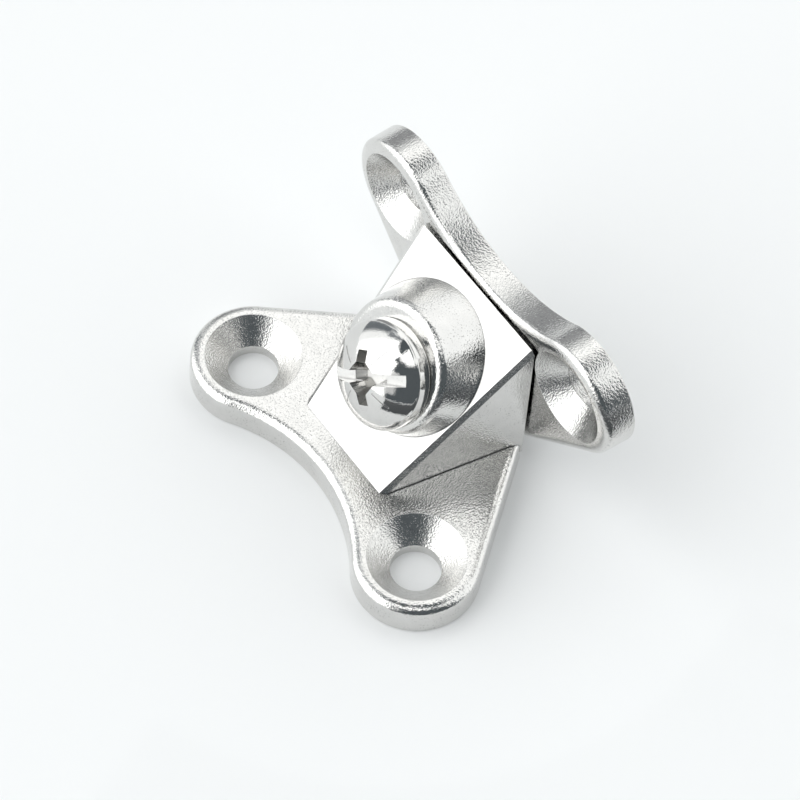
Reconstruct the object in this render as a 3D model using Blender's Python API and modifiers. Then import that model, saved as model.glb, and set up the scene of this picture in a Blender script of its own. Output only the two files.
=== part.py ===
"""Two-part corner connector: a base bracket, an upright bracket and the slanting screw that joins them.

Units are metres. +Z is up, -X is where the base bracket's ears point and +Y runs along the corner.
The underside of the base bracket is the plane Z = 0.
Corner coordinates, used for the shapes, start where the top of the base plate meets the end of its block.
"""
import math

import bmesh
import bpy
from mathutils import Matrix, Vector

MM = 0.001

# Both eared plates
PLATE_THICKNESS = 3.9 * MM
HOLE_SPACING = 32.0 * MM
EAR_RADIUS = 7.3 * MM
WAIST_BEYOND_HOLES = 2.35 * MM
CORNER_HALF_WIDTH = 10.3 * MM
WALL_DRAFT = 0.1 * MM
EDGE_ROUND = 0.85 * MM
COUNTERSINK_DIAMETER = 11.2 * MM
COUNTERSINK_DEPTH = 2.55 * MM
FIXING_HOLE_DIAMETER = 5.8 * MM
BASE_HOLE_REACH = 18.65 * MM
UPRIGHT_HOLE_REACH = 15.95 * MM
UPRIGHT_FOOT = -0.6 * MM
JOINT_GAP = 0.3 * MM

# Wedge block on the base plate, and the hollow inside it
BLOCK_RUN = 17.4 * MM
BLOCK_RISE = 18.1 * MM
BLOCK_HALF_WIDTH = 10.5 * MM
BLOCK_TOE_HALF_WIDTH = 7.5 * MM
BLOCK_ROOT = -2.0 * MM
BLOCK_EDGE_ROUND = 0.6 * MM
BLOCK_WALL = 2.0 * MM
HOLLOW_RUN = 12.0 * MM

# Slanting boss and its seat for the screw head; the boss lies a little uphill and to one side of the screw
SCREW_ELEVATION = math.radians(30.0)
SCREW_SEAT = Vector((-11.68, -0.2, 11.0)) * MM
BOSS_UPHILL = 0.7 * MM
BOSS_SIDE = 0.35 * MM
BOSS_SEAT_RADIUS = 6.6 * MM
BOSS_EDGE_ROUND = 1.2 * MM
BOSS_WALL_RADIUS = 8.25 * MM
BOSS_TAPER = 0.23
BOSS_DEPTH = 9.0 * MM
BOSS_BORE_RADIUS = 4.0 * MM

# Lug on the upright plate
LUG_RUN = 9.5 * MM
LUG_BORE_RADIUS = 3.35 * MM
LUG_BORE_DEPTH = 13.0 * MM

# Screw: M6, pan head with a combined slot and cross recess
THREAD_RADIUS = 3.0 * MM
THREAD_ROOT_RADIUS = 2.4 * MM
THREAD_PITCH = 1.0 * MM
SHANK_LENGTH = 12.0 * MM
PLAIN_NECK = 1.5 * MM
TIP_TAPER = 1.2 * MM
HEAD_RADIUS = 6.25 * MM
HEAD_SIDE = 1.6 * MM
HEAD_HEIGHT = 4.55 * MM
HEAD_CORNER = 0.25 * MM
SLOT_WIDTH = 1.3 * MM
SLOT_DEPTH = 1.9 * MM
RECESS_SPAN = 6.9 * MM
RECESS_FOOT_SPAN = 3.4 * MM
RECESS_DEPTH = 3.1 * MM
RECESS_ARM = 1.45 * MM
RECESS_FOOT_ARM = 0.9 * MM
RECESS_CORE = 3.6 * MM
SLOT_TURN = math.radians(38.0)

# Facets round a whole circle
ROUND_STEPS = 64
EAR_STEPS = 30
WAIST_STEPS = 20
THREAD_STEPS = 24
OVERSHOOT = 1.0 * MM

# Where the corner sits, with the origin under the middle of the whole connector
OUTER_REACH = BASE_HOLE_REACH + EAR_RADIUS
UPRIGHT_BACK = JOINT_GAP + PLATE_THICKNESS
CORNER = Vector(((OUTER_REACH - UPRIGHT_BACK) / 2, 0.0, PLATE_THICKNESS))


def empty_scene():
    for item in list(bpy.data.objects):
        bpy.data.objects.remove(item, do_unlink=True)


def new_collection(name):
    collection = bpy.data.collections.new(name)
    bpy.context.scene.collection.children.link(collection)
    return collection


def metal(name, colour, roughness):
    material = bpy.data.materials.new(name)
    material.use_nodes = True
    shader = material.node_tree.nodes["Principled BSDF"]
    shader.inputs["Base Color"].default_value = (*colour, 1.0)
    shader.inputs["Metallic"].default_value = 1.0
    shader.inputs["Roughness"].default_value = roughness
    return material


def object_from(bm, name, collection):
    bmesh.ops.recalc_face_normals(bm, faces=bm.faces)
    mesh = bpy.data.meshes.new(name)
    bm.to_mesh(mesh)
    bm.free()
    item = bpy.data.objects.new(name, mesh)
    collection.objects.link(item)
    return item


def hide_tool(item):
    item.hide_render = True
    item.display_type = "WIRE"
    return item


def combine(item, tool, operation):
    modifier = item.modifiers.new(f"{operation.lower()} {tool.name}", "BOOLEAN")
    modifier.operation = operation
    modifier.solver = "EXACT"
    modifier.object = tool


def finish(item, material):
    item.data.materials.append(material)
    item.data.shade_smooth()
    item.data.set_sharp_from_angle(angle=math.radians(30.0))


def arc(centre, radius, start, end, steps):
    """Points from angle start to angle end about centre, both ends included."""
    points = []
    for step in range(steps + 1):
        angle = start + (end - start) * step / steps
        points.append((centre[0] + radius * math.cos(angle), centre[1] + radius * math.sin(angle)))
    return points


def plate_outline(reach, foot, inset):
    """Outline of an eared plate as (reach, side) points: two ears, a hollow waist and a straight foot."""
    half = HOLE_SPACING / 2
    waist = (half**2 + WAIST_BEYOND_HOLES**2 - EAR_RADIUS**2) / (2 * (EAR_RADIUS - WAIST_BEYOND_HOLES))
    waist_centre = reach + WAIST_BEYOND_HOLES + waist
    to_ear = math.atan2(half, reach - waist_centre)
    to_foot = (-reach, CORNER_HALF_WIDTH - half)
    flank = math.atan2(to_foot[1], to_foot[0]) % math.tau - math.acos(EAR_RADIUS / math.hypot(*to_foot))
    points = arc((waist_centre, 0.0), waist + inset, math.pi, to_ear, WAIST_STEPS // 2)
    points += arc((reach, half), EAR_RADIUS - inset, to_ear - math.pi, flank, EAR_STEPS)[1:]
    end = foot + inset
    side = half + (EAR_RADIUS - inset - math.cos(flank) * (end - reach)) / math.sin(flank)
    points.append((end, side))
    mirrored = [(u, -v) for u, v in reversed(points[1:])]
    return points + mirrored


def eared_plate(name, reach, foot, collection):
    """A plate lying flat with its front face at Z = 0, drafted walls and rounded front edges."""
    bm = bmesh.new()
    rear, front = (
        [bm.verts.new((-u, v, height)) for u, v in plate_outline(reach, foot, inset)]
        for height, inset in ((-PLATE_THICKNESS, 0.0), (0.0, WALL_DRAFT))
    )
    bm.faces.new(reversed(rear))
    front_face = bm.faces.new(front)
    for index in range(len(front)):
        bm.faces.new((rear[index - 1], rear[index], front[index], front[index - 1]))
    bmesh.ops.recalc_face_normals(bm, faces=bm.faces)
    bmesh.ops.bevel(
        bm, geom=list(front_face.edges), offset=EDGE_ROUND, segments=4, profile=0.5, affect="EDGES"
    )
    return object_from(bm, name, collection)


def tapered_prism(profile, half_width):
    """A side profile of (x, z) points, as wide at each x as half_width says, and its two rims."""
    bm = bmesh.new()
    near = [bm.verts.new((x, -half_width(x), z)) for x, z in profile]
    far = [bm.verts.new((x, half_width(x), z)) for x, z in profile]
    bm.faces.new(near)
    bm.faces.new(list(reversed(far)))
    for index in range(len(profile)):
        after = (index + 1) % len(profile)
        bm.faces.new((near[index], far[index], far[after], near[after]))
    return bm, near, far


def turned(name, profile, steps, collection):
    """A solid of revolution about local Z from a profile of (radius, height), listed from top to bottom."""
    bm = bmesh.new()
    points = [bm.verts.new((radius, 0.0, height)) for radius, height in profile]
    for first, second in zip(points, points[1:]):
        bm.edges.new((first, second))
    mesh = bpy.data.meshes.new(name)
    bm.to_mesh(mesh)
    bm.free()
    item = bpy.data.objects.new(name, mesh)
    collection.objects.link(item)
    screw = item.modifiers.new("turn", "SCREW")
    screw.axis = "Z"
    screw.steps = steps
    screw.render_steps = steps
    screw.use_merge_vertices = True
    screw.merge_threshold = 0.000001
    return item


def block_half_width(x):
    return BLOCK_HALF_WIDTH + (BLOCK_HALF_WIDTH - BLOCK_TOE_HALF_WIDTH) * x / BLOCK_RUN


def slope_height(x, below=0.0):
    """Height of the block's sloping face at x, or of a parallel plane the given distance below it."""
    steepness = BLOCK_RISE / BLOCK_RUN
    return BLOCK_RISE + steepness * x - below * math.hypot(1.0, steepness)


def along_screw(item, origin):
    """Stand an item made about local Z on the slanting screw axis, with Z pointing out of the block."""
    item.matrix_local = Matrix.Translation(origin) @ Matrix.Rotation(SCREW_ELEVATION - math.pi / 2, 4, "Y")
    return item


def boss_seat():
    """The middle of the boss's own flat seat."""
    uphill = Vector((math.sin(SCREW_ELEVATION), 0.0, math.cos(SCREW_ELEVATION)))
    return SCREW_SEAT + uphill * BOSS_UPHILL + Vector((0.0, BOSS_SIDE, 0.0))


def wedge_block(tools):
    toe = -BLOCK_RUN * (1.0 - BLOCK_ROOT / BLOCK_RISE)
    bm, near, far = tapered_prism([(0.0, BLOCK_ROOT), (0.0, BLOCK_RISE), (toe, BLOCK_ROOT)], block_half_width)
    slanting = [bm.edges.get((rim[1], rim[2])) for rim in (near, far)]
    bmesh.ops.bevel(bm, geom=slanting, offset=BLOCK_EDGE_ROUND, segments=4, profile=0.5, affect="EDGES")
    return hide_tool(object_from(bm, "wedge_block", tools))


def boss(tools):
    """Conical boss, trimmed flush with the block's sides and end."""
    shoulder = arc((BOSS_SEAT_RADIUS, -BOSS_EDGE_ROUND), BOSS_EDGE_ROUND, math.pi / 2, 0.25, 4)
    wall = BOSS_WALL_RADIUS + BOSS_TAPER * BOSS_DEPTH
    profile = [(0.0, 0.0)] + shoulder + [(wall, -BOSS_DEPTH), (0.0, -BOSS_DEPTH)]
    item = turned("boss", profile, ROUND_STEPS, tools)
    along_screw(item, boss_seat())
    reach = -1.5 * BLOCK_RUN
    height = 1.5 * BLOCK_RISE
    outline = [(0.0, BLOCK_ROOT), (0.0, height), (reach, height), (reach, BLOCK_ROOT)]
    bm, _, _ = tapered_prism(outline, block_half_width)
    envelope = hide_tool(object_from(bm, "boss_envelope", tools))
    combine(item, envelope, "INTERSECT")
    return hide_tool(item), envelope


def hollow(tools):
    """The hollow that takes the lug: open at the block's end and through the plate's underside."""
    floor = -PLATE_THICKNESS - OVERSHOOT
    outline = [
        (OVERSHOOT, floor),
        (OVERSHOOT, slope_height(OVERSHOOT, BLOCK_WALL)),
        (-HOLLOW_RUN, slope_height(-HOLLOW_RUN, BLOCK_WALL)),
        (-HOLLOW_RUN, floor),
    ]
    bm, _, _ = tapered_prism(outline, lambda x: block_half_width(x) - BLOCK_WALL)
    return hide_tool(object_from(bm, "hollow", tools))


def fixing_hole(name, tools):
    """Cutter for one countersunk hole in a plate whose front face is at local Z = 0."""
    top = COUNTERSINK_DIAMETER / 2
    hole = FIXING_HOLE_DIAMETER / 2
    slope = (top - hole) / COUNTERSINK_DEPTH
    below = -PLATE_THICKNESS - OVERSHOOT
    profile = [
        (0.0, OVERSHOOT),
        (top + slope * OVERSHOOT, OVERSHOOT),
        (hole, -COUNTERSINK_DEPTH),
        (hole, below),
        (0.0, below),
    ]
    return hide_tool(turned(name, profile, ROUND_STEPS, tools))


def bore(name, radius, top, bottom, tools):
    profile = [(0.0, top), (radius, top), (radius, bottom), (0.0, bottom)]
    return hide_tool(turned(name, profile, ROUND_STEPS // 2, tools))


def base_bracket(parts, tools, corner):
    item = eared_plate("base_bracket", BASE_HOLE_REACH, 0.0, parts)
    block = wedge_block(tools)
    cone, envelope = boss(tools)
    core = hollow(tools)
    screw_hole = along_screw(bore("boss_bore", BOSS_BORE_RADIUS, OVERSHOOT, -BOSS_DEPTH, tools), SCREW_SEAT)
    holes = []
    for name, side in (("base_hole_near", -1), ("base_hole_far", 1)):
        cutter = fixing_hole(name, tools)
        cutter.location = (-BASE_HOLE_REACH, side * HOLE_SPACING / 2, 0.0)
        holes.append(cutter)
    for piece in [item, block, cone, envelope, core, screw_hole] + holes:
        piece.parent = corner
    combine(item, block, "UNION")
    combine(item, cone, "UNION")
    for cutter in [core, screw_hole] + holes:
        combine(item, cutter, "DIFFERENCE")
    finish(item, metal("bright_nickel_base", (0.78, 0.77, 0.75), 0.2))


def lug(tools):
    """Tapered lug that fills the hollow with a small gap all round and carries the screw's thread."""
    gap = BLOCK_WALL + JOINT_GAP
    root = JOINT_GAP + PLATE_THICKNESS / 2
    outline = [
        (root, UPRIGHT_FOOT),
        (root, slope_height(0.0, gap)),
        (0.0, slope_height(0.0, gap)),
        (-LUG_RUN, slope_height(-LUG_RUN, gap)),
        (-LUG_RUN, UPRIGHT_FOOT),
    ]
    bm, _, _ = tapered_prism(outline, lambda x: block_half_width(min(x, 0.0)) - gap)
    return hide_tool(object_from(bm, "lug", tools))


def upright_bracket(parts, tools, corner):
    """The same eared plate, stood up so that its reach runs upwards and its front faces the block."""
    stand_up = Matrix.Translation((JOINT_GAP, 0.0, 0.0)) @ Matrix.Rotation(math.pi, 4, (1.0, 0.0, -1.0))
    item = eared_plate("upright_bracket", UPRIGHT_HOLE_REACH, UPRIGHT_FOOT, parts)
    item.data.transform(stand_up)
    nose = lug(tools)
    thread = along_screw(bore("lug_bore", LUG_BORE_RADIUS, 0.0, -LUG_BORE_DEPTH, tools), SCREW_SEAT)
    holes = []
    for name, side in (("upright_hole_near", -1), ("upright_hole_far", 1)):
        cutter = fixing_hole(name, tools)
        cutter.location = (JOINT_GAP, side * HOLE_SPACING / 2, UPRIGHT_HOLE_REACH)
        cutter.rotation_euler = (0.0, -math.pi / 2, 0.0)
        holes.append(cutter)
    for piece in [item, nose, thread] + holes:
        piece.parent = corner
    combine(item, nose, "UNION")
    for cutter in [thread] + holes:
        combine(item, cutter, "DIFFERENCE")
    finish(item, metal("bright_nickel_upright", (0.78, 0.77, 0.75), 0.2))


def thread_radius(height):
    """How far the thread's crests stand out, falling to nothing at the neck and at the tip."""
    into_neck = max(0.0, min(1.0, (-height - PLAIN_NECK) / THREAD_PITCH))
    into_tip = max(0.0, min(1.0, (height + SHANK_LENGTH) / TIP_TAPER))
    return (THREAD_RADIUS - THREAD_ROOT_RADIUS) * min(into_neck, into_tip)


def threaded_shank(name, top, collection):
    """Right-hand thread as one closed skin: each turn is a row of root, flank and crest points."""
    tooth = ((0.0, 0.0), (0.3125, 1.0), (0.4375, 1.0), (0.75, 0.0))
    bottom = -SHANK_LENGTH
    turns = math.ceil(SHANK_LENGTH / THREAD_PITCH)
    bm = bmesh.new()
    columns = []
    for step in range(THREAD_STEPS):
        angle = math.tau * step / THREAD_STEPS
        column = []
        for turn in range(-2, turns + 3):
            for fraction, crest in tooth:
                height = bottom + THREAD_PITCH * (turn + fraction + step / THREAD_STEPS)
                height = max(bottom, min(top, height))
                radius = THREAD_ROOT_RADIUS + crest * thread_radius(height)
                column.append(bm.verts.new((radius * math.cos(angle), radius * math.sin(angle), height)))
        columns.append(column)
    rows = len(columns[0])
    for step in range(THREAD_STEPS):
        shift = len(tooth) if step == THREAD_STEPS - 1 else 0
        column = columns[step]
        beside = columns[(step + 1) % THREAD_STEPS]
        for row in range(rows - 1 - shift):
            after = row + shift
            bm.faces.new((column[row], beside[after], beside[after + 1], column[row + 1]))
    bmesh.ops.remove_doubles(bm, verts=bm.verts, dist=0.000001)
    bmesh.ops.holes_fill(bm, edges=[edge for edge in bm.edges if edge.is_boundary])
    return object_from(bm, name, collection)


def cross_recess(tools):
    """Tapered cross: two crossing wedges, and the square core between them."""
    top = HEAD_HEIGHT + OVERSHOOT
    floor = HEAD_HEIGHT - RECESS_DEPTH
    spread = (top - floor) / RECESS_DEPTH
    pieces = []
    for name, spans, widths, turn in (
        ("recess_arms", (RECESS_FOOT_SPAN, RECESS_SPAN), (RECESS_FOOT_ARM, RECESS_ARM), 0.0),
        ("recess_cross_arms", (RECESS_FOOT_SPAN, RECESS_SPAN), (RECESS_FOOT_ARM, RECESS_ARM), math.pi / 2),
        ("recess_core", (RECESS_CORE * 0.6, RECESS_CORE), (RECESS_CORE * 0.6, RECESS_CORE), math.pi / 4),
    ):
        bm = bmesh.new()
        bmesh.ops.create_cube(bm, size=1.0)
        for vert in bm.verts:
            high = vert.co.z > 0
            span = spans[0] + (spans[1] - spans[0]) * (spread if high else 0.0)
            width = widths[0] + (widths[1] - widths[0]) * (spread if high else 0.0)
            vert.co = (vert.co.x * span, vert.co.y * width, top if high else floor)
        bmesh.ops.rotate(bm, verts=bm.verts, matrix=Matrix.Rotation(turn, 3, "Z"))
        pieces.append(hide_tool(object_from(bm, name, tools)))
    return pieces


def slot(tools):
    bm = bmesh.new()
    bmesh.ops.create_cube(bm, size=1.0)
    size = Vector((3 * HEAD_RADIUS, SLOT_WIDTH, 2 * SLOT_DEPTH))
    bmesh.ops.scale(bm, verts=bm.verts, vec=size)
    bmesh.ops.translate(bm, verts=bm.verts, vec=(0.0, 0.0, HEAD_HEIGHT))
    return hide_tool(object_from(bm, "slot", tools))


def clamp_screw(parts, tools, corner):
    """Pan head screw, made about its own axis with Z = 0 at the underside of the head."""
    dome = HEAD_HEIGHT - HEAD_SIDE
    sphere = (HEAD_RADIUS**2 + dome**2) / (2 * dome)
    rim = math.asin(HEAD_RADIUS / sphere)
    crown = arc((0.0, HEAD_HEIGHT - sphere), sphere, math.pi / 2, math.pi / 2 - rim, 10)
    crown[0] = (0.0, HEAD_HEIGHT)
    underside = [(HEAD_RADIUS, HEAD_CORNER), (HEAD_RADIUS - HEAD_CORNER, 0.0), (0.0, 0.0)]
    seat_gap = JOINT_GAP
    head = turned("head", [(r, z + seat_gap) for r, z in crown + underside], ROUND_STEPS, tools)
    item = threaded_shank("clamp_screw", HEAD_SIDE, parts)
    axis = bpy.data.objects.new("screw_axis", None)
    tools.objects.link(axis)
    axis.parent = corner
    along_screw(axis, SCREW_SEAT)
    cutters = cross_recess(tools) + [slot(tools)]
    for cutter in cutters:
        cutter.rotation_euler = (0.0, 0.0, SLOT_TURN - math.pi / 2)
        cutter.location = (0.0, 0.0, seat_gap)
    for piece in [item, head] + cutters:
        piece.parent = axis
    combine(item, hide_tool(head), "UNION")
    for cutter in cutters:
        combine(item, cutter, "DIFFERENCE")
    finish(item, metal("bright_nickel_screw", (0.8, 0.8, 0.79), 0.08))


def main():
    empty_scene()
    parts = new_collection("corner_connector")
    tools = new_collection("cutters")
    corner = bpy.data.objects.new("corner", None)
    corner.location = CORNER
    tools.objects.link(corner)
    base_bracket(parts, tools, corner)
    upright_bracket(parts, tools, corner)
    clamp_screw(parts, tools, corner)


main()
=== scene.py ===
"""Two-part corner connector in bright nickel: the finished look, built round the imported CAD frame.

Sizes are in millimetres and turned into metres where meshes are made.
Corner coordinates start where the top of the base plate meets the end of its block.
"""

import math

import bmesh
import bpy
from mathutils import Matrix, Vector


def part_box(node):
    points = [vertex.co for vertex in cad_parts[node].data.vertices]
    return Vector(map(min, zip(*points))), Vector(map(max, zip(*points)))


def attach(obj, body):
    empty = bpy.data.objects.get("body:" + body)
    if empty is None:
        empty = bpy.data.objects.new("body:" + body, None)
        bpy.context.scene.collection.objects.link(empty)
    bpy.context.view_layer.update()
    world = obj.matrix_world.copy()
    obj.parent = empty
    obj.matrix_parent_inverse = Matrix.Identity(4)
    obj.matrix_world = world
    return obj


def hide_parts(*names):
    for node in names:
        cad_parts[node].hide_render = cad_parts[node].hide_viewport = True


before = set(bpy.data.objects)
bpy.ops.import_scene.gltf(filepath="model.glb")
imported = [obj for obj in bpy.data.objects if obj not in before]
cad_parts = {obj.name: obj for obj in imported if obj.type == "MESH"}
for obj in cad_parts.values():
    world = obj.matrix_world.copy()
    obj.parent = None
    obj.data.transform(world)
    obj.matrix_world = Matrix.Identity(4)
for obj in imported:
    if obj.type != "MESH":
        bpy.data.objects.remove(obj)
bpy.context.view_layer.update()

MM = 0.001

# Eared plates. Their front rim rolls in further, by RIM_REACH, than it drops, by EDGE_ROUND.
PLATE_THICKNESS = 3.9
HALF_SPACING = 16.0
EAR_RADIUS = 7.3
WAIST_BEYOND_HOLES = 2.35
CORNER_HALF_WIDTH = 10.3
WALL_DRAFT = 0.1
EDGE_ROUND = 0.85
RIM_REACH = 1.2
RIM_STEPS = 12
FOOT_ROUND = 0.2
COUNTERSINK_RADIUS = 5.6
COUNTERSINK_DEPTH = 2.55
HOLE_RADIUS = 2.9
MOUTH_ROUND = 0.1
MOUTH_START = 0.12                     # radians, where the mouth's round leaves the plate's face
THROAT_ROUND = 0.1
THROAT_DROP = 0.04
BASE_HOLE_REACH = 18.65
UPRIGHT_HOLE_REACH = 15.95
UPRIGHT_FOOT = -0.6
JOINT_GAP = 0.3

# Wedge block and hollow
BLOCK_RUN = 17.4
BLOCK_RISE = 18.1
BLOCK_HALF_WIDTH = 10.5
BLOCK_TOE_HALF_WIDTH = 7.5
BLOCK_ROOT = -2.0
BLOCK_BEVEL = 0.5
RIDGE_ROUND = 0.22
BLOCK_WALL = 2.0
HOLLOW_RUN = 12.0

# Slanting boss and seat
SCREW_ELEVATION = math.radians(30.0)
SCREW_SEAT = Vector((-11.68, -0.2, 11.0))
BOSS_UPHILL = 0.7
BOSS_SIDE = 0.35
BOSS_SEAT_RADIUS = 6.6
BOSS_EDGE_ROUND = 1.2
BOSS_SHOULDER_END = 0.25               # radians, where the shoulder's round meets the tapered wall
BOSS_WALL_RADIUS = 8.25
BOSS_TAPER = 0.23
BOSS_DEPTH = 9.0
BOSS_BORE_RADIUS = 4.0

# Lug
LUG_RUN = 9.5
LUG_BORE_RADIUS = 3.35
LUG_BORE_DEPTH = 13.0

# Screw. The shown head all but rests on its seat, by HEAD_SEATING below where the CAD's head ends.
THREAD_RADIUS = 3.0
THREAD_ROOT_RADIUS = 2.4
THREAD_PITCH = 1.0
SHANK_LENGTH = 12.0
PLAIN_NECK = 1.5
TIP_TAPER = 1.2
TOOTH = ((0.0, 0.0), (0.3125, 1.0), (0.4375, 1.0), (0.75, 0.0))    # shares of pitch and height
HEAD_SEATING = JOINT_GAP - 0.04
HEAD_RADIUS = 6.25
HEAD_SIDE = 1.6
HEAD_HEIGHT = 4.55
HEAD_CORNER = 0.3
DOME_RIM_ROUND = 0.3
SLOT_WIDTH = 1.3
SLOT_DEPTH = 1.9
RECESS_SPAN = 6.9
RECESS_FOOT_SPAN = 3.4
RECESS_DEPTH = 3.1
RECESS_ARM = 1.45
RECESS_FOOT_ARM = 0.9
RECESS_CORE = 3.6
RECESS_CORE_TAPER = 0.6
SLOT_TURN = math.radians(38.0)
TICK_SPAN = (2.2, 4.4)
TICK_WIDTH = 0.2
TICK_DEPTH = 0.07
TICK_TOP = 0.3

SIDES = (-1, 1)
OVERSHOOT = 1.0                        # how far a cutter reaches past what it cuts
FINE = 192                             # sides of a full turn
corner = Vector((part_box("base_bracket")[1].x, 0.0, PLATE_THICKNESS * MM))
workshop = bpy.data.collections.new("workshop")
bpy.context.scene.collection.children.link(workshop)


# ---------------------------------------------------------------- shapes

def object_from(bm, name):
    """A mesh object in metres from a bmesh in millimetres."""
    bmesh.ops.recalc_face_normals(bm, faces=bm.faces)
    bmesh.ops.scale(bm, verts=bm.verts, vec=(MM, MM, MM))
    mesh = bpy.data.meshes.new(name)
    bm.to_mesh(mesh)
    bm.free()
    item = bpy.data.objects.new(name, mesh)
    workshop.objects.link(item)
    return item


def moved(item, matrix):
    """The item's mesh moved by a matrix whose offset is in millimetres."""
    placed = matrix.copy()
    placed.translation *= MM
    item.data.transform(placed)
    return item


def arc(centre, radius, start, end, steps):
    """Points along an arc, both ends included."""
    points = []
    for step in range(steps + 1):
        angle = start + (end - start) * step / steps
        points.append((centre[0] + radius * math.cos(angle), centre[1] + radius * math.sin(angle)))
    return points


def plate_outline(reach, foot, inset):
    """Outline of an eared plate as (reach from the corner, side).

    It has two ears, a hollow waist between them and a straight foot, all drawn in by inset.
    """
    half = HALF_SPACING
    waist = (half**2 + WAIST_BEYOND_HOLES**2 - EAR_RADIUS**2) / (2 * (EAR_RADIUS - WAIST_BEYOND_HOLES))
    waist_centre = reach + WAIST_BEYOND_HOLES + waist
    to_ear = math.atan2(half, reach - waist_centre)
    to_foot = (-reach, CORNER_HALF_WIDTH - half)
    flank = math.atan2(to_foot[1], to_foot[0]) % math.tau - math.acos(EAR_RADIUS / math.hypot(*to_foot))
    points = arc((waist_centre, 0.0), waist + inset, math.pi, to_ear, 36)
    points += arc((reach, half), EAR_RADIUS - inset, to_ear - math.pi, flank, 88)[1:]
    end = foot + inset
    side = half + (EAR_RADIUS - inset - math.cos(flank) * (end - reach)) / math.sin(flank)
    points.append((end, side))
    return points + [(u, -v) for u, v in reversed(points[1:])]


def eared_plate(name, reach, foot):
    """A plate lying flat with its front face at Z = 0, its front rim and its rear rim rounded."""
    rings = [(FOOT_ROUND * (1 - math.sin(a)), -PLATE_THICKNESS + FOOT_ROUND * (1 - math.cos(a)))
             for a in (0.0, 0.5, 1.0, math.pi / 2)]
    for step in range(RIM_STEPS + 1):
        angle = math.pi / 2 * step / RIM_STEPS
        inset = WALL_DRAFT + RIM_REACH * (1 - math.cos(angle))
        rings.append((inset, -EDGE_ROUND * (1 - math.sin(angle))))
    bm = bmesh.new()
    loops = []
    for inset, height in rings:
        loops.append([bm.verts.new((-u, v, height)) for u, v in plate_outline(reach, foot, inset)])
    bm.faces.new(reversed(loops[0]))
    bm.faces.new(loops[-1])
    for low, high in zip(loops, loops[1:]):
        for index in range(len(low)):
            bm.faces.new((low[index - 1], low[index], high[index], high[index - 1]))
    return object_from(bm, name)


def tapered_prism(profile, half_width):
    """A prism across Y with the (x, z) profile, reaching half_width(x) to either side."""
    bm = bmesh.new()
    near = [bm.verts.new((x, -half_width(x), z)) for x, z in profile]
    far = [bm.verts.new((x, half_width(x), z)) for x, z in profile]
    bm.faces.new(near)
    bm.faces.new(list(reversed(far)))
    for index in range(len(profile)):
        after = (index + 1) % len(profile)
        bm.faces.new((near[index], far[index], far[after], near[after]))
    return bm, near, far


def turned(name, profile, steps=FINE):
    """A closed solid of revolution about local Z.

    The profile holds (radius, height) points from top to bottom, the first and last at radius 0.
    """
    bm = bmesh.new()
    top = bm.verts.new((0.0, 0.0, profile[0][1]))
    bottom = bm.verts.new((0.0, 0.0, profile[-1][1]))
    rings = []
    for radius, height in profile[1:-1]:
        ring = []
        for step in range(steps):
            angle = math.tau * step / steps
            ring.append(bm.verts.new((radius * math.cos(angle), radius * math.sin(angle), height)))
        rings.append(ring)
    for index in range(steps):
        bm.faces.new((top, rings[0][index - 1], rings[0][index]))
        bm.faces.new((bottom, rings[-1][index], rings[-1][index - 1]))
        for high, low in zip(rings, rings[1:]):
            bm.faces.new((high[index - 1], low[index - 1], low[index], high[index]))
    return object_from(bm, name)


def block_half_width(x):
    return BLOCK_HALF_WIDTH + (BLOCK_HALF_WIDTH - BLOCK_TOE_HALF_WIDTH) * x / BLOCK_RUN


def slope_height(x, below=0.0):
    """Height of the block's sloping face at x, or of a plane the given distance under it."""
    steepness = BLOCK_RISE / BLOCK_RUN
    return BLOCK_RISE + steepness * x - below * math.hypot(1.0, steepness)


def along_screw(origin):
    """Stands a thing made about local Z on the slanting screw axis."""
    return Matrix.Translation(origin) @ Matrix.Rotation(SCREW_ELEVATION - math.pi / 2, 4, "Y")


def boss_seat():
    uphill = Vector((math.sin(SCREW_ELEVATION), 0.0, math.cos(SCREW_ELEVATION)))
    return SCREW_SEAT + uphill * BOSS_UPHILL + Vector((0.0, BOSS_SIDE, 0.0))


def wedge_block():
    """The wedge, its ridge rounded and its two slanting edges cut to flat bevels by planes."""
    toe = -BLOCK_RUN * (1.0 - BLOCK_ROOT / BLOCK_RISE)
    outline = [(0.0, BLOCK_ROOT), (0.0, BLOCK_RISE), (toe, BLOCK_ROOT)]
    bm, near, far = tapered_prism(outline, block_half_width)
    bevels = []
    slope = (far[1].co - near[1].co).cross(near[2].co - near[1].co).normalized()
    slope = slope if slope.z > 0 else -slope
    for row, side in ((near, -1.0), (far, 1.0)):
        along = (row[2].co - row[1].co).normalized()
        flank = along.cross(row[0].co - row[1].co).normalized()
        flank = flank if flank.y * side > 0 else -flank
        normal = (slope + flank).normalized()
        depth = BLOCK_BEVEL * math.sin(slope.angle(flank) / 2)
        bevels.append((row[1].co - normal * depth, normal))
    ridge = [bm.edges.get((near[1], far[1]))]
    bmesh.ops.bevel(bm, geom=ridge, offset=RIDGE_ROUND, segments=3, profile=0.5, affect="EDGES")
    for point, normal in bevels:
        cut = bmesh.ops.bisect_plane(bm, geom=bm.verts[:] + bm.edges[:] + bm.faces[:],
                                     plane_co=point, plane_no=normal, clear_outer=True)
        rim = [part for part in cut["geom_cut"] if isinstance(part, bmesh.types.BMEdge)]
        bmesh.ops.contextual_create(bm, geom=rim)
    return object_from(bm, "wedge_block")


def boss():
    shoulder = arc((BOSS_SEAT_RADIUS, -BOSS_EDGE_ROUND), BOSS_EDGE_ROUND,
                   math.pi / 2, BOSS_SHOULDER_END, 12)
    wall = BOSS_WALL_RADIUS + BOSS_TAPER * BOSS_DEPTH
    return moved(turned("boss", [(0.0, 0.0)] + shoulder + [(wall, -BOSS_DEPTH), (0.0, -BOSS_DEPTH)]),
                 along_screw(boss_seat()))


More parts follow.
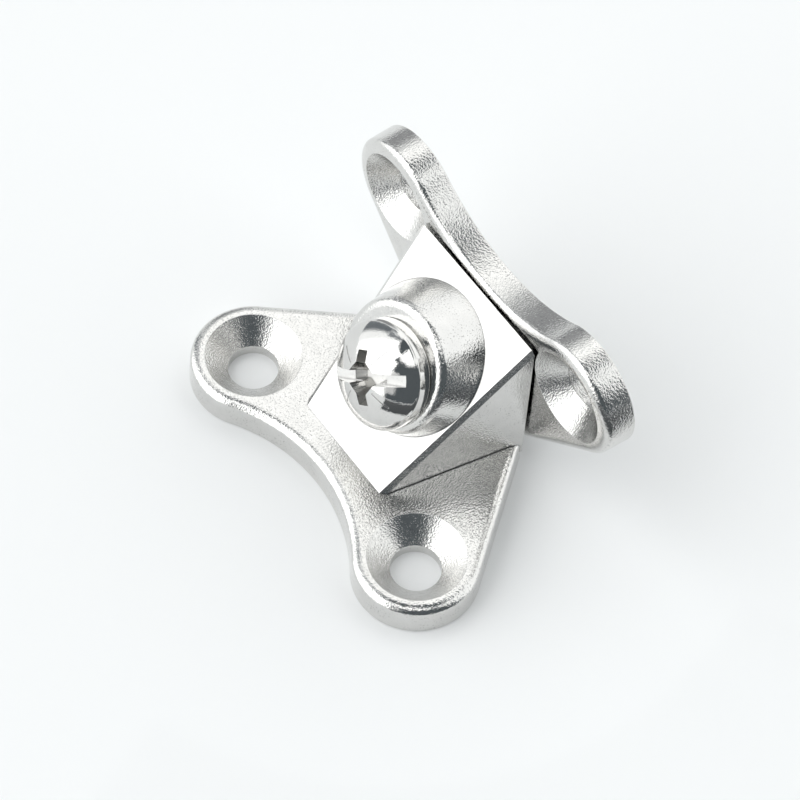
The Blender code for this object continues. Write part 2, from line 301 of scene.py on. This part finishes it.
def boss_envelope():
    """What the boss may fill: between the planes of the block's sides, and in front of its end."""
    reach = -1.5 * BLOCK_RUN
    height = 1.5 * BLOCK_RISE
    outline = [(0.0, BLOCK_ROOT), (0.0, height), (reach, height), (reach, BLOCK_ROOT)]
    return object_from(tapered_prism(outline, block_half_width)[0], "boss_envelope")


def hollow():
    floor = -PLATE_THICKNESS - OVERSHOOT
    outline = [
        (OVERSHOOT, floor),
        (OVERSHOOT, slope_height(OVERSHOOT, BLOCK_WALL)),
        (-HOLLOW_RUN, slope_height(-HOLLOW_RUN, BLOCK_WALL)),
        (-HOLLOW_RUN, floor),
    ]
    bm, _, _ = tapered_prism(outline, lambda x: block_half_width(x) - BLOCK_WALL)
    return object_from(bm, "hollow")


def fixing_hole(name):
    """Cutter for one countersunk hole, its mouth rounded over onto the plate's front face at Z = 0."""
    below = -PLATE_THICKNESS - OVERSHOOT
    slope = math.atan2(COUNTERSINK_DEPTH, COUNTERSINK_RADIUS - HOLE_RADIUS)
    mouth = arc((COUNTERSINK_RADIUS + MOUTH_ROUND * math.tan(slope / 2), -MOUTH_ROUND), MOUTH_ROUND,
                math.pi / 2 + MOUTH_START, math.pi / 2 + slope, 5)
    outward = (mouth[0][0] + 2.0, mouth[0][1] + 2.0 * math.tan(MOUTH_START))
    profile = [(0.0, OVERSHOOT), (outward[0], OVERSHOOT), outward] + mouth
    throat = arc((HOLE_RADIUS + THROAT_ROUND, -COUNTERSINK_DEPTH - THROAT_DROP), THROAT_ROUND,
                 math.pi / 2 + slope, math.pi, 3)
    profile += throat + [(HOLE_RADIUS, below), (0.0, below)]
    return turned(name, profile)


def bore(name, radius, top, bottom):
    return moved(turned(name, [(0.0, top), (radius, top), (radius, bottom), (0.0, bottom)], 96),
                 along_screw(SCREW_SEAT))


def lug():
    """The upright bracket's lug, which fills the hollow block but for the joint gap."""
    gap = BLOCK_WALL + JOINT_GAP
    root = JOINT_GAP + PLATE_THICKNESS / 2
    outline = [
        (root, UPRIGHT_FOOT),
        (root, slope_height(0.0, gap)),
        (0.0, slope_height(0.0, gap)),
        (-LUG_RUN, slope_height(-LUG_RUN, gap)),
        (-LUG_RUN, UPRIGHT_FOOT),
    ]
    bm, _, _ = tapered_prism(outline, lambda x: block_half_width(min(x, 0.0)) - gap)
    return object_from(bm, "lug")


def add_boolean(item, operation, tool):
    modifier = item.modifiers.new(tool.name, "BOOLEAN")
    modifier.operation = operation
    modifier.solver = "EXACT"
    modifier.object = tool


def combined(name, start, steps, place=Matrix.Identity(4)):
    """One clean mesh from a start item and (operation, tool) steps, placed at the corner.

    The start item and the tools are used up.
    """
    for operation, tool in steps:
        add_boolean(start, operation, tool)
    bpy.context.view_layer.update()
    graph = bpy.context.evaluated_depsgraph_get()
    mesh = bpy.data.meshes.new_from_object(start.evaluated_get(graph))
    mesh.name = name
    for item in [start] + [tool for _, tool in steps]:
        bpy.data.objects.remove(item, do_unlink=True)
    stood = place.copy()
    stood.translation *= MM
    mesh.transform(Matrix.Translation(corner) @ stood)
    return mesh


def shown(name, mesh):
    item = bpy.data.objects.new(name, mesh)
    bpy.context.scene.collection.objects.link(item)
    return item


def piece(name, mesh, body, node, material, finishes, sharp=28.0):
    """Shows a mesh in place of a CAD node.

    finishes are (test, material) pairs for faces unlike the rest. Edges that turn by more than
    sharp degrees stay hard.
    """
    item = shown(name, mesh)
    mesh.materials.clear()
    mesh.materials.append(material)
    for index, (picks, finish) in enumerate(finishes):
        mesh.materials.append(finish)
        for face in mesh.polygons:
            if picks(face):
                face.material_index = index + 1
    mesh.shade_smooth()
    mesh.set_sharp_from_angle(angle=math.radians(sharp))
    normals = item.modifiers.new("weighted normals", "WEIGHTED_NORMAL")
    normals.keep_sharp = True
    normals.weight = 100
    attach(item, body)
    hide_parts(node)


def tooth_height(height):
    """How far the thread's crest stands out at a height: none along the neck and at the very tip."""
    into_neck = max(0.0, min(1.0, (-height - PLAIN_NECK) / THREAD_PITCH))
    into_tip = max(0.0, min(1.0, (height + SHANK_LENGTH) / TIP_TAPER))
    return (THREAD_RADIUS - THREAD_ROOT_RADIUS) * min(into_neck, into_tip)


def threaded_shank(name, top, steps=72):
    """Shank with a right-hand thread: columns of points whose rows climb by one pitch in a turn."""
    bottom = -SHANK_LENGTH
    turns = math.ceil(SHANK_LENGTH / THREAD_PITCH)
    bm = bmesh.new()
    columns = []
    for step in range(steps):
        angle = math.tau * step / steps
        column = []
        for turn in range(-2, turns + 3):
            for fraction, crest in TOOTH:
                height = bottom + THREAD_PITCH * (turn + fraction + step / steps)
                height = max(bottom, min(top, height))
                radius = THREAD_ROOT_RADIUS + crest * tooth_height(height)
                column.append(bm.verts.new((radius * math.cos(angle), radius * math.sin(angle), height)))
        columns.append(column)
    rows = len(columns[0])
    for step in range(steps):
        shift = len(TOOTH) if step == steps - 1 else 0
        column = columns[step]
        beside = columns[(step + 1) % steps]
        for row in range(rows - 1 - shift):
            after = row + shift
            bm.faces.new((column[row], beside[after], beside[after + 1], column[row + 1]))
    bmesh.ops.remove_doubles(bm, verts=bm.verts, dist=0.001)
    bmesh.ops.holes_fill(bm, edges=[edge for edge in bm.edges if edge.is_boundary])
    return object_from(bm, name)


DOME_RISE = HEAD_HEIGHT - HEAD_SIDE
DOME_SPHERE = (HEAD_RADIUS**2 + DOME_RISE**2) / (2 * DOME_RISE)


def dome_height(radius):
    """Height of the head's dome at a radius, above the underside of the head."""
    return HEAD_HEIGHT - DOME_SPHERE + math.sqrt(DOME_SPHERE**2 - radius**2)


def screw_head():
    reach = math.asin((HEAD_RADIUS - 0.12) / DOME_SPHERE)
    crown = arc((0.0, HEAD_HEIGHT - DOME_SPHERE), DOME_SPHERE, math.pi / 2, math.pi / 2 - reach, 40)
    crown[0] = (0.0, HEAD_HEIGHT)
    rim = arc((HEAD_RADIUS - DOME_RIM_ROUND, HEAD_SIDE - 0.2), DOME_RIM_ROUND, 0.75, 0.0, 5)
    low = HEAD_CORNER - HEAD_SEATING
    foot = arc((HEAD_RADIUS - HEAD_CORNER, low), HEAD_CORNER, 0.0, -math.pi / 2, 6)
    return turned("head", crown + rim + foot + [(0.0, -HEAD_SEATING)])


def tapered_box(name, foot, mouth, turn):
    """Cutter that widens from foot (length, width) at the recess floor to mouth at the head's top."""
    top = HEAD_HEIGHT + OVERSHOOT
    floor = HEAD_HEIGHT - RECESS_DEPTH
    spread = (top - floor) / RECESS_DEPTH
    bm = bmesh.new()
    bmesh.ops.create_cube(bm, size=1.0)
    for vert in bm.verts:
        high = vert.co.z > 0
        span = foot[0] + (mouth[0] - foot[0]) * (spread if high else 0.0)
        width = foot[1] + (mouth[1] - foot[1]) * (spread if high else 0.0)
        vert.co = (vert.co.x * span, vert.co.y * width, top if high else floor)
    bmesh.ops.rotate(bm, verts=bm.verts, matrix=Matrix.Rotation(turn, 3, "Z"))
    return object_from(bm, name)


def recess_tools():
    """Cutters for the cross recess and the slot, about the head's axis."""
    arms = ((RECESS_FOOT_SPAN, RECESS_FOOT_ARM), (RECESS_SPAN, RECESS_ARM))
    foot = RECESS_CORE * RECESS_CORE_TAPER
    core = ((foot, foot), (RECESS_CORE, RECESS_CORE))
    tools = [
        tapered_box("recess_arms", *arms, 0.0),
        tapered_box("recess_cross_arms", *arms, math.pi / 2),
        tapered_box("recess_core", *core, math.pi / 4),
    ]
    bm = bmesh.new()
    bmesh.ops.create_cube(bm, size=1.0)
    bmesh.ops.scale(bm, verts=bm.verts, vec=(3 * HEAD_RADIUS, SLOT_WIDTH, 2 * SLOT_DEPTH))
    bmesh.ops.translate(bm, verts=bm.verts, vec=(0.0, 0.0, HEAD_HEIGHT))
    return tools + [object_from(bm, "slot")]


def tick(index, steps=8):
    """Cutter for one hairline groove of even depth in the dome, between two arms of the cross."""
    bm = bmesh.new()
    half = TICK_WIDTH / 2
    sections = []
    for step in range(steps + 1):
        radius = TICK_SPAN[0] + (TICK_SPAN[1] - TICK_SPAN[0]) * step / steps
        height = dome_height(radius)
        corners = ((-half, TICK_TOP), (-half, -TICK_DEPTH), (half, -TICK_DEPTH), (half, TICK_TOP))
        sections.append([bm.verts.new((radius, side, height + above)) for side, above in corners])
    bm.faces.new(sections[0])
    bm.faces.new(list(reversed(sections[-1])))
    for first, second in zip(sections, sections[1:]):
        for side in range(4):
            bm.faces.new((first[side - 1], first[side], second[side], second[side - 1]))
    turn = math.pi / 4 + math.pi / 2 * index
    bmesh.ops.rotate(bm, verts=bm.verts, matrix=Matrix.Rotation(turn, 3, "Z"))
    return object_from(bm, f"tick_{index}")


def screw_mesh():
    """The screw, cut about its own axis with Z = 0 on its seat and then stood on the slanting axis."""
    lifted = Matrix.Translation((0.0, 0.0, JOINT_GAP))
    turn = Matrix.Rotation(SLOT_TURN - math.pi / 2, 4, "Z")
    steps = []
    for tool in recess_tools() + [tick(index) for index in range(4)]:
        steps.append(("DIFFERENCE", moved(tool, lifted @ turn)))
    steps.append(("UNION", threaded_shank("shank", HEAD_SIDE)))
    return combined("screw_body", moved(screw_head(), lifted), steps, along_screw(SCREW_SEAT))


def base_mesh():
    cone = boss()
    envelope = boss_envelope()
    add_boolean(cone, "INTERSECT", envelope)
    steps = [("UNION", wedge_block()), ("UNION", cone), ("DIFFERENCE", hollow()),
             ("DIFFERENCE", bore("boss_bore", BOSS_BORE_RADIUS, OVERSHOOT, -BOSS_DEPTH))]
    for side in SIDES:
        place = Matrix.Translation((-BASE_HOLE_REACH, side * HALF_SPACING, 0.0))
        steps.append(("DIFFERENCE", moved(fixing_hole("base_hole"), place)))
    mesh = combined("base_casting", eared_plate("base_plate", BASE_HOLE_REACH, 0.0), steps)
    bpy.data.objects.remove(envelope, do_unlink=True)
    return mesh


def upright_mesh():
    stand_up = Matrix.Translation((JOINT_GAP, 0.0, 0.0)) @ Matrix.Rotation(math.pi, 4, (1.0, 0.0, -1.0))
    plate = moved(eared_plate("upright_plate", UPRIGHT_HOLE_REACH, UPRIGHT_FOOT), stand_up)
    steps = [("UNION", lug()),
             ("DIFFERENCE", bore("lug_bore", LUG_BORE_RADIUS, 0.0, -LUG_BORE_DEPTH))]
    for side in SIDES:
        place = Matrix.Translation((JOINT_GAP, side * HALF_SPACING, UPRIGHT_HOLE_REACH))
        turn = Matrix.Rotation(-math.pi / 2, 4, "Y")
        steps.append(("DIFFERENCE", moved(fixing_hole("upright_hole"), place @ turn)))
    return combined("upright_casting", plate, steps)


# ---------------------------------------------------------------- materials

NICKEL = (0.72, 0.715, 0.70)
PATCH_SHADE = 0.94
# Painted shade: the dark colour that creases are turned towards.
CREASE_SHADE = (0.05, 0.05, 0.055)
PIT = (0.12, 0.12, 0.12)
EDGE_SOFTNESS = 0.04
CREASE_REACH = 0.22
WAVE_SIZE = 2.2
PATCH_SIZE = 1.6
SHEEN_SIZE = 0.9
PIT_SIZE = 0.17
PIT_CLUSTER_SIZE = 2.6


def metal(name, roughness, grain, grain_size=0.2, crease_shade=1.0, pits=0.0):
    """Bright nickel plate: grain as fine bump, softened edges, painted shade darkening the creases, and
    dark pits.

    grain is how far the surface tilts at a grain, and grain_size is the width of a grain in millimetres.
    The painted crease shade and the pits are each given a strength from 0 to 1.
    """
    material = bpy.data.materials.new(name)
    material.use_nodes = True
    tree = material.node_tree
    shader = tree.nodes["Principled BSDF"]
    shader.inputs["Metallic"].default_value = 1.0

    def add(kind, **values):
        node = tree.nodes.new(kind)
        for key, value in values.items():
            if hasattr(node, key):
                setattr(node, key, value)
            else:
                node.inputs[key.replace("_", " ")].default_value = value
        return node

    place = add("ShaderNodeTexCoord")
    in_mm = add("ShaderNodeVectorMath", operation="SCALE", Scale=1.0 / MM)
    tree.links.new(place.outputs["Object"], in_mm.inputs[0])

    def noise(size, detail, fineness=0.5):
        node = add("ShaderNodeTexNoise", Scale=1.0 / size, Detail=detail, Roughness=fineness)
        tree.links.new(in_mm.outputs[0], node.inputs["Vector"])
        return node.outputs["Fac"]

    def spread(source, low, high, to_low, to_high):
        node = add("ShaderNodeMapRange", clamp=True)
        sockets = ("From Min", "From Max", "To Min", "To Max")
        for socket, value in zip(sockets, (low, high, to_low, to_high)):
            node.inputs[socket].default_value = value
        tree.links.new(source, node.inputs["Value"])
        return node.outputs["Result"]

    edges = add("ShaderNodeBevel", samples=6, Radius=EDGE_SOFTNESS * MM)
    waves = add("ShaderNodeBump", Strength=1.0, Distance=grain * 0.2 * MM)
    tree.links.new(noise(WAVE_SIZE, 1.0), waves.inputs["Height"])
    tree.links.new(edges.outputs["Normal"], waves.inputs["Normal"])
    bumps = add("ShaderNodeBump", Strength=1.0, Distance=grain * 2.0 * grain_size * MM)
    tree.links.new(noise(grain_size, 1.5, 0.6), bumps.inputs["Height"])
    tree.links.new(waves.outputs["Normal"], bumps.inputs["Normal"])
    tree.links.new(bumps.outputs["Normal"], shader.inputs["Normal"])

    # Painted shade: the base colour darkens in creases, by how closely the part's own surfaces close
    # round them.
    creases = add("ShaderNodeAmbientOcclusion", samples=6, only_local=True, Distance=CREASE_REACH * MM)
    out_of_crease_shade = spread(creases.outputs["AO"], 0.6, 0.96, 1.0 - crease_shade, 1.0)
    patches = spread(noise(PATCH_SIZE, 3.0), 0.3, 0.7, 0.0, 1.0)
    clusters = spread(noise(PIT_CLUSTER_SIZE, 2.0, 0.6), 0.45, 0.66, 0.12, 1.0)
    speckles = add("ShaderNodeMath", operation="MULTIPLY")
    tree.links.new(spread(noise(PIT_SIZE, 0.0), 0.66, 0.74, 0.0, pits), speckles.inputs[0])
    tree.links.new(clusters, speckles.inputs[1])
    plate = add("ShaderNodeMix", data_type="RGBA")
    plate.inputs["A"].default_value = (*(PATCH_SHADE * part for part in NICKEL), 1.0)
    plate.inputs["B"].default_value = (*NICKEL, 1.0)
    tree.links.new(patches, plate.inputs["Factor"])
    crease_shaded_colour = add("ShaderNodeMix", data_type="RGBA")
    crease_shaded_colour.inputs["A"].default_value = (*CREASE_SHADE, 1.0)
    tree.links.new(out_of_crease_shade, crease_shaded_colour.inputs["Factor"])
    pitted = add("ShaderNodeMix", data_type="RGBA")
    pitted.inputs["B"].default_value = (*PIT, 1.0)
    tree.links.new(speckles.outputs[0], pitted.inputs["Factor"])
    tree.links.new(plate.outputs["Result"], pitted.inputs["A"])
    tree.links.new(pitted.outputs["Result"], crease_shaded_colour.inputs["B"])
    tree.links.new(crease_shaded_colour.outputs["Result"], shader.inputs["Base Color"])
    sheen = spread(noise(SHEEN_SIZE, 3.0), 0.3, 0.7, roughness * 0.8, roughness * 1.25)
    tree.links.new(sheen, shader.inputs["Roughness"])
    return material


# The third keyword of each finish sets how dark its painted crease shade gets.
cast_base = metal("cast_nickel_base", 0.04, 0.095, grain_size=0.22, pits=0.6)
ground_base = metal("ground_nickel_base", 0.07, 0.04, crease_shade=0.8, pits=0.5)
bevel_base = metal("bevel_nickel_base", 0.05, 0.09, grain_size=0.22, pits=0.5)
cone_base = metal("countersink_nickel_base", 0.08, 0.15, pits=0.4)
cast_upright = metal("cast_nickel_upright", 0.04, 0.095, grain_size=0.22, pits=0.6)
cone_upright = metal("countersink_nickel_upright", 0.08, 0.15, pits=0.4)
polished_screw = metal("polished_nickel_screw", 0.04, 0.015, crease_shade=0.2, pits=0.2)
struck_screw = metal("struck_recess_screw", 0.32, 0.1, crease_shade=0.35, pits=0.3)


def facing(direction, limit):
    """Picks faces whose normal lies within limit (a cosine) of a direction."""
    return lambda face: face.normal.dot(direction) > limit


def in_countersink(axis, centres):
    """Picks faces inside the countersinks round the given centres; axis points out of the front."""
    def picks(face):
        if face.normal.dot(axis) > 0.97:
            return False
        for centre in centres:
            offset = face.center - centre
            if (offset - axis * offset.dot(axis)).length < (COUNTERSINK_RADIUS + MOUTH_ROUND) * MM:
                return True
        return False
    return picks


def in_recess(face):
    """Picks faces of the slot and the cross recess, which lie below the head's dome."""
    offset = face.center - (corner + SCREW_SEAT * MM)
    height = offset.dot(OUT_OF_SEAT) / MM
    radius = (offset / MM - OUT_OF_SEAT * height).length
    return 0.0 < height < dome_height(radius) - UNDER_DOME and radius < HEAD_RADIUS - DOME_RIM_ROUND


def on_bevel(face):
    """Picks the narrow bevels along the block's two slanting edges, and no small facet of a round."""
    normal = face.normal
    slants = normal.x < -0.4 and 0.4 < abs(normal.y) < 0.8 and 0.3 < normal.z < 0.6
    return slants and face.area > SMALLEST_BEVEL


UP_SLOPE = Vector((-BLOCK_RISE, 0.0, BLOCK_RUN)).normalized()
OUT_OF_SEAT = Vector((-math.cos(SCREW_ELEVATION), 0.0, math.sin(SCREW_ELEVATION)))
SAME_PLANE = 0.9998                    # cosine of the largest angle that still counts as one plane
UNDER_DOME = 0.08
SMALLEST_BEVEL = 4e-8                  # square metres
base_centres = [corner + Vector((-BASE_HOLE_REACH, side * HALF_SPACING, 0.0)) * MM
                for side in SIDES]
upright_centres = [corner + Vector((0.0, side * HALF_SPACING, UPRIGHT_HOLE_REACH)) * MM
                   for side in SIDES]

base_finishes = [
    (facing(UP_SLOPE, SAME_PLANE), ground_base),
    (facing(OUT_OF_SEAT, SAME_PLANE), ground_base),
    (on_bevel, bevel_base),
    (in_countersink(Vector((0.0, 0.0, 1.0)), base_centres), cone_base),
]
upright_finishes = [
    (in_countersink(Vector((-1.0, 0.0, 0.0)), upright_centres), cone_upright),
]
screw_finishes = [
    (in_recess, struck_screw),
]
piece("base_casting", base_mesh(), "base", "base_bracket",
      cast_base, base_finishes)
piece("upright_casting", upright_mesh(), "upright", "upright_bracket",
      cast_upright, upright_finishes)
piece("screw_body", screw_mesh(), "screw", "clamp_screw",
      polished_screw, screw_finishes)
bpy.data.collections.remove(workshop)


# ---------------------------------------------------------------- floor, light and camera

def stage_item(name, bm, colour, roughness):
    """A studio surface in plain matt colour from a bmesh in metres."""
    mesh = bpy.data.meshes.new(name)
    bm.to_mesh(mesh)
    bm.free()
    item = shown(name, mesh)
    material = bpy.data.materials.new(name)
    material.use_nodes = True
    shader = material.node_tree.nodes["Principled BSDF"]
    shader.inputs["Base Color"].default_value = (*colour, 1.0)
    shader.inputs["Roughness"].default_value = roughness
    mesh.materials.append(material)
    return item


FLOOR_COLOUR = (0.9, 0.91, 0.912)


def make_floor():
    bm = bmesh.new()
    bmesh.ops.create_grid(bm, x_segments=1, y_segments=1, size=2.0)
    item = stage_item("floor", bm, FLOOR_COLOUR, 0.7)


CAMERA_AZIMUTH = math.radians(-39.347)
CAMERA_ELEVATION = math.radians(57.062)
CAMERA_ROLL = math.radians(4.653)
CAMERA_DISTANCE = 426.0
CAMERA_TARGET = Vector((-8.291, 1.767, 0.0))
CAMERA_LENS = 169.384
SENSOR = 36.0


def make_camera():
    """The camera at the photograph's viewing angle, its target measured from the corner."""
    back = Vector((math.sin(CAMERA_AZIMUTH) * math.cos(CAMERA_ELEVATION),
                   -math.cos(CAMERA_AZIMUTH) * math.cos(CAMERA_ELEVATION),
                   math.sin(CAMERA_ELEVATION)))
    right = Vector((math.cos(CAMERA_AZIMUTH), math.sin(CAMERA_AZIMUTH), 0.0))
    turn = Matrix.Rotation(CAMERA_ROLL, 3, back)
    right = turn @ right
    up = back.cross(right)
    place = corner + (CAMERA_TARGET + back * CAMERA_DISTANCE) * MM
    data = bpy.data.cameras.new("camera")
    data.sensor_width = SENSOR
    data.lens = CAMERA_LENS
    data.clip_start = 0.01
    camera = shown("camera", data)
    camera.matrix_world = Matrix((
        (right.x, up.x, back.x, place.x),
        (right.y, up.y, back.y, place.y),
        (right.z, up.z, back.z, place.z),
        (0.0, 0.0, 0.0, 1.0),
    ))
    bpy.context.scene.camera = camera


# Studio surroundings: (azimuth range, elevation range, edge softness, colour), laid one over another.
# Azimuth is the view azimuth: 0 is the -Y side and -90 the -X side. A window that ends past
# LAST_FRONT_AZIMUTH is reckoned from the back instead, so that it may run across 180.
OPEN_ROOM = (1.3, 1.32, 1.32)
SOFTBOX = (2.2, 2.22, 2.22)
CEILING = (1.75, 1.75, 1.75)
DIM = (0.3, 0.32, 0.34)
DARK = (0.11, 0.125, 0.135)
SURROUNDINGS = (
    ((100, 178), (44, 68), 4, (1.45, 1.46, 1.45)),
    ((-154, -77), (0, 72), 4, SOFTBOX),
    ((-62, 24), (-11, 60), 2.5, DARK),
    ((-78, -52), (44, 60), 2.5, DARK),
    ((-92, -56), (58, 68), 2, DARK),
    ((-76, -60), (10, 42), 4, (0.7, 0.71, 0.71)),
    ((-72, 24), (-20, 10), 2.5, DARK),
    ((-30, 181), (69, 120), 2, DARK),
    ((-181, -92), (71, 120), 2, DARK),
    ((-82, -24), (64, 84), 3, CEILING),
    ((140, 172), (-6, 44), 6, (0.8, 0.82, 0.82)),
    ((147, 171), (-6, 34), 5, (0.36, 0.37, 0.38)),
    ((18, 31), (-11, 24), 3, (0.15, 0.165, 0.175)),
    ((178, 192), (-4, 48), 4, (0.2, 0.22, 0.24)),
    ((-174, -162), (47, 71), 2, DIM),
    ((162, 184), (46, 56), 3, DIM),
)


LAST_FRONT_AZIMUTH = 175


def make_world():
    """Surroundings as smooth-edged windows of azimuth and elevation, one mixed over another."""
    world = bpy.data.worlds.new("studio")
    world.use_nodes = True
    tree = world.node_tree
    links = tree.links

    def math_node(operation, first, second=None):
        node = tree.nodes.new("ShaderNodeMath")
        node.operation = operation
        for socket, value in zip(node.inputs, (first, second)):
            if value is None:
                continue
            if isinstance(value, (int, float)):
                socket.default_value = value
            else:
                links.new(value, socket)
        return node.outputs[0]

    def step(value, low, high):
        node = tree.nodes.new("ShaderNodeMapRange")
        node.interpolation_type = "SMOOTHSTEP"
        links.new(value, node.inputs["Value"])
        node.inputs["From Min"].default_value = math.radians(low)
        node.inputs["From Max"].default_value = math.radians(high)
        return node.outputs["Result"]

    def inside(value, span, soft):
        rise = step(value, span[0] - soft, span[0] + soft)
        fall = step(value, span[1] - soft, span[1] + soft)
        return math_node("MULTIPLY", rise, math_node("SUBTRACT", 1.0, fall))

    place = tree.nodes.new("ShaderNodeTexCoord")
    parts = tree.nodes.new("ShaderNodeSeparateXYZ")
    links.new(place.outputs["Generated"], parts.inputs[0])
    elevation = math_node("ARCSINE", parts.outputs["Z"])
    front = math_node("ARCTAN2", parts.outputs["X"], math_node("MULTIPLY", parts.outputs["Y"], -1.0))
    back = math_node("ARCTAN2", math_node("MULTIPLY", parts.outputs["X"], -1.0), parts.outputs["Y"])
    colour = None
    for azimuths, elevations, soft, shade in SURROUNDINGS:
        wraps = azimuths[1] > LAST_FRONT_AZIMUTH
        around = back if wraps else front
        turned_by = 180 if wraps else 0
        across = inside(around, (azimuths[0] - turned_by, azimuths[1] - turned_by), soft)
        mix = tree.nodes.new("ShaderNodeMix")
        mix.data_type = "RGBA"
        window = math_node("MULTIPLY", across, inside(elevation, elevations, soft))
        links.new(window, mix.inputs["Factor"])
        mix.inputs["A"].default_value = (*OPEN_ROOM, 1.0)
        if colour is not None:
            links.new(colour, mix.inputs["A"])
        mix.inputs["B"].default_value = (*shade, 1.0)
        colour = mix.outputs["Result"]
    links.new(colour, tree.nodes["Background"].inputs["Color"])
    bpy.context.scene.world = world


# The card's colour is a painted dark reflection; the camera, diffuse light and shadows pass it by.
FLAG_COLOUR = (0.06, 0.065, 0.07)
FLAG_AZIMUTHS = (math.radians(-70), math.radians(28))
FLAG_REACH = (0.044, 0.6)              # metres, as is the height
FLAG_HEIGHT = 0.0004
FLAG_STEPS = 24


def make_flag():
    """A painted dark reflection: a black card on the floor in front of the object, which only
    reflections see.
    """
    bm = bmesh.new()
    rows = []
    for reach in FLAG_REACH:
        row = []
        for step in range(FLAG_STEPS + 1):
            azimuth = FLAG_AZIMUTHS[0] + (FLAG_AZIMUTHS[1] - FLAG_AZIMUTHS[0]) * step / FLAG_STEPS
            place = (reach * math.sin(azimuth), -reach * math.cos(azimuth), FLAG_HEIGHT)
            row.append(bm.verts.new(place))
        rows.append(row)
    for index in range(FLAG_STEPS):
        bm.faces.new((rows[1][index], rows[1][index + 1], rows[0][index + 1], rows[0][index]))
    bmesh.ops.recalc_face_normals(bm, faces=bm.faces)
    item = stage_item("flag", bm, FLAG_COLOUR, 0.9)
    item.visible_camera = False
    item.visible_diffuse = False
    item.visible_shadow = False


make_floor()
make_flag()
make_camera()
make_world()
bpy.context.scene.view_settings.view_transform = "Standard"
